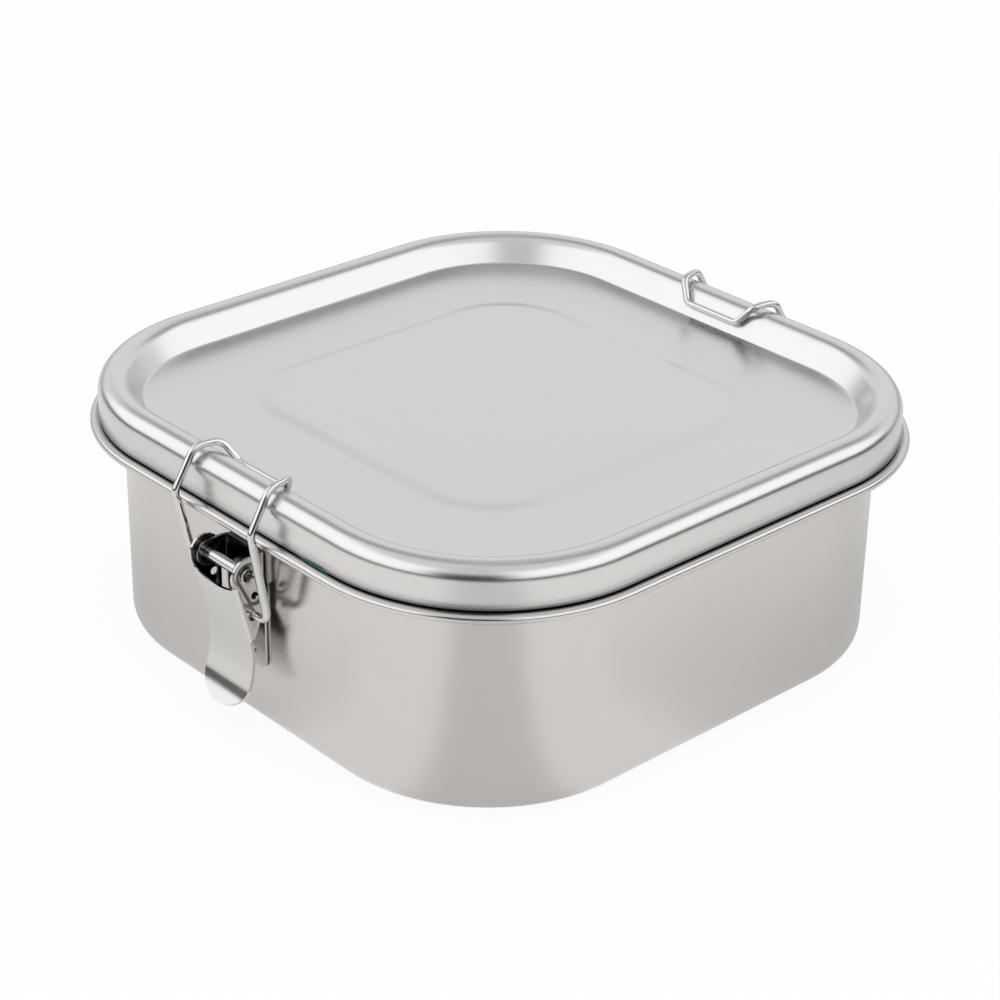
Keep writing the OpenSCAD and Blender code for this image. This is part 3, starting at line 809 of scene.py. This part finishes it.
seal = new_piece("silicone_seal")
y = -BEAD[0]
draw_section(
    -RIM_CORNER, (y - SEAL_R, SEAL_BASE + CHAMFER_UP), (y - SEAL_R, BEAD[1]),
    ((y, BEAD[1]), -180, 20),
    (y + SEAL_R, SEAL_BASE + LIP_EASE), (y + SEAL_R - LIP_EASE, SEAL_BASE),
    (y + GROOVE_X + LIP_EASE, SEAL_BASE), (y + GROOVE_X, SEAL_BASE + LIP_EASE),
    (y + GROOVE_X, GROOVE_Z), (y - GROOVE_X, GROOVE_Z), (y - GROOVE_X, SEAL_BASE + LIP_EASE),
    (y - GROOVE_X - LIP_EASE, SEAL_BASE), (y - SEAL_R + CHAMFER_OUT, SEAL_BASE),
    (y - SEAL_R, SEAL_BASE + CHAMFER_UP))
bpy.ops.mesh.select_linked()
bpy.ops.mesh.remove_doubles(threshold=JOIN)
round_the_box(RIM_CORNER)
draw(*((*point, SEAL_BASE) for point in (*BULGE, BULGE[0])))
close_block((0, 0, BULGE_HEIGHT))
bpy.ops.transform.resize(value=(0.9, 0.9, 1), center_override=(0.031, BULGE[0][1], 0))
bpy.ops.mesh.select_all(action="SELECT")
bpy.ops.mesh.normals_make_consistent(inside=False)
bpy.ops.object.mode_set(mode="OBJECT")
bpy.ops.object.shade_smooth_by_angle(angle=math.radians(40))
material, tree, place = new_material("teal silicone")
mottle = tree.noise(place, scale=90, detail=3, roughness=0.6)
skin = tree.noise(place, scale=2600, detail=2, roughness=0.5)
finish_material(material, tree, {
    "Base Color": tree.blend(mottle, (0.007, 0.085, 0.095, 1), (0.012, 0.125, 0.135, 1)),
    "Roughness": 0.42 + mottle * 0.12,
    "Normal": tree.add("Bump", {}, {"Strength": 1.0, "Distance": 0.00001, "Height": skin})})
hand_over((seal,), material, ("lid", "lid_seal", "seal_silicone"))


# ---- Room ----
# A large white table in a studio. A tall soft box stands to the left and one to the right, a pale
# backdrop behind, a soft box hangs overhead, and the side where the camera stands is dim. Polished
# metal also shows the dark gap between the table's far edge and the boxes. Angles are in degrees.
CAMERA_TURN, CAMERA_HEIGHT, CAMERA_ROLL = 47.374, 27.431, 1.076
CAMERA_SHIFTED = (0.001191, 0.028441, 0.66384)    # its place, along its own three directions
LENS, FILM = 93.66, 36                            # millimetres
TABLE_R = 1.0
TOWARD = (math.sin(math.radians(CAMERA_TURN)), -math.cos(math.radians(CAMERA_TURN)), 0)
RIGHT = (-TOWARD[1], TOWARD[0], 0)                # right of TOWARD, which points to the camera
DEGREES = 180 / math.pi
BLACK, WHITE = (0, 0, 0, 1), (1, 1, 1, 1)


def ray_kinds(tree):
    """1 where a ray comes from the camera, and 1 where it comes from metal or through glass."""
    camera, glossy, through = (tree.add("LightPath", {}, {}, name) for name in
                               ("Is Camera Ray", "Is Glossy Ray", "Is Transmission Ray"))
    return camera, glossy + through


def bearings(tree, way, middle=0.0):
    """How far round to the right of the camera a direction is, and how far from a middle."""
    toward, right = (tree.vector("DOT_PRODUCT", way, axis, output="Value")
                     for axis in (TOWARD, RIGHT))
    bearing = right.math("ARCTAN2", right, toward) * DEGREES
    return bearing, bearing.math("ABSOLUTE", bearing - middle)


bpy.ops.object.select_all(action="DESELECT")
bpy.ops.mesh.primitive_plane_add(size=12, location=(0, 0, 0))
floor = bpy.context.object
floor.name = "floor"
material, tree, place = new_material("white table")
from_camera, from_metal = ray_kinds(tree)
bearing, aside = bearings(tree, place)
away = tree.vector("LENGTH", place, output="Value")
edge = tree.soft_step(away, TABLE_R * 0.9, TABLE_R * 1.1, 0.0, 1.0)
# What metal sees of the table glows with painted shade: darker straight before the camera, to the
# right and the left, and in a painted shadow round the box.
middle_shade = tree.soft_step(aside, 7, 22, 0.72, 1.15)      # darker straight before the camera
right_shade = tree.soft_step(bearing, 28, 105, 1.0, 0.69)
left_shade = tree.soft_step(bearing, -95, -55, 0.78, 1.0)
painted_box_shadow = (1.0 - tree.soft_step(away, 0.09, 0.17, 0.74, 1.0)) \
    * tree.soft_step(aside, 22, 50, 0.0, 1.0)
level = middle_shade * right_shade * left_shade * (1.0 - painted_box_shadow)
table = tree.blend(level, BLACK, (1.02, 1.0, 0.985, 1))
shine = tree.blend(edge, table, (0.13, 0.10, 0.085, 1))
seen = tree.add("Emission", {}, {"Color": tree.blend(from_camera, shine, WHITE), "Strength": 1.0})
paint = tree.add("BsdfDiffuse", {}, {"Color": (0.93, 0.93, 0.93, 1)})
own_light = from_camera * 0.93 + from_metal * (0.80 + edge * 0.20)
tree.add("OutputMaterial", {}, {
    "Surface": tree.add("MixShader", {}, {0: own_light, 1: paint, 2: seen})})
floor.data.materials.append(material)

world = bpy.data.worlds.new("studio room")
bpy.context.scene.world = world
world.use_nodes = True
world.node_tree.nodes.clear()
tree = Shade(world.node_tree)
way = tree.add("TexCoord", {}, {}, "Generated")
height = tree.part(way, "Z")
rise = height.math("ARCSINE", height) * DEGREES
bearing, aside = bearings(tree, way, middle=-8)
gap = tree.soft_step(bearing, -40, 40, 0.14, 0.09)           # below the soft boxes
gap_top = tree.soft_step(bearing, -40, 20, 0.0, 1.0) * 3.0   # higher on the right
lit = tree.soft_step(rise - gap_top, 7, 10, 0.0, 1.0)
side_boxes = lit * tree.soft_step(rise, 46, 58, 1.40, 0.85) + gap * (1.0 - lit)
between = tree.soft_step(rise, 28, 40, 0.92, 0.42) * tree.soft_step(rise, 3, 12, 0.7, 1.0)
backdrop = tree.soft_step(rise, 3, 9, 0.62, 0.93) * tree.soft_step(rise, 40, 56, 1.0, 0.66)
camera_side = tree.soft_step(rise, 24, 42, 0.04, 0.74)
room = side_boxes
for start, end, beyond in ((118, 132, between), (148, 162, backdrop), (30, 14, camera_side)):
    share = tree.soft_step(aside, start, end, 0.0, 1.0)
    room = room * (1.0 - share) + beyond * share
from_camera, from_metal = ray_kinds(tree)
strength = from_camera + from_metal * room + (1.0 - from_camera - from_metal) * 0.70
tree.add("OutputWorld", {}, {
    "Surface": tree.add("Background", {}, {"Color": WHITE, "Strength": strength})})

lamp = bpy.data.lights.new("soft box", "AREA")
lamp.shape, lamp.size, lamp.energy = "SQUARE", 0.9, 4.6
soft_box = bpy.data.objects.new("soft box", lamp)
soft_box.location = (0.25, -0.2, 1.1)
soft_box.visible_glossy = False       # the metal shows the room's own soft boxes
soft_box.rotation_euler = soft_box.location.to_track_quat("Z", "Y").to_euler()
bpy.context.scene.collection.objects.link(soft_box)

turned = Euler((0, 0, math.radians(CAMERA_TURN))).to_matrix() \
    @ Euler((math.radians(90 - CAMERA_HEIGHT), 0, 0)).to_matrix() \
    @ Euler((0, 0, math.radians(CAMERA_ROLL))).to_matrix()
camera = bpy.data.objects.new("camera", bpy.data.cameras.new("camera"))
camera.data.lens, camera.data.sensor_width = LENS, FILM
camera.matrix_world = Matrix.Translation(turned @ Vector(CAMERA_SHIFTED)) @ turned.to_4x4()
bpy.context.scene.collection.objects.link(camera)
bpy.context.scene.camera = camera
bpy.context.scene.view_settings.view_transform = "Standard"
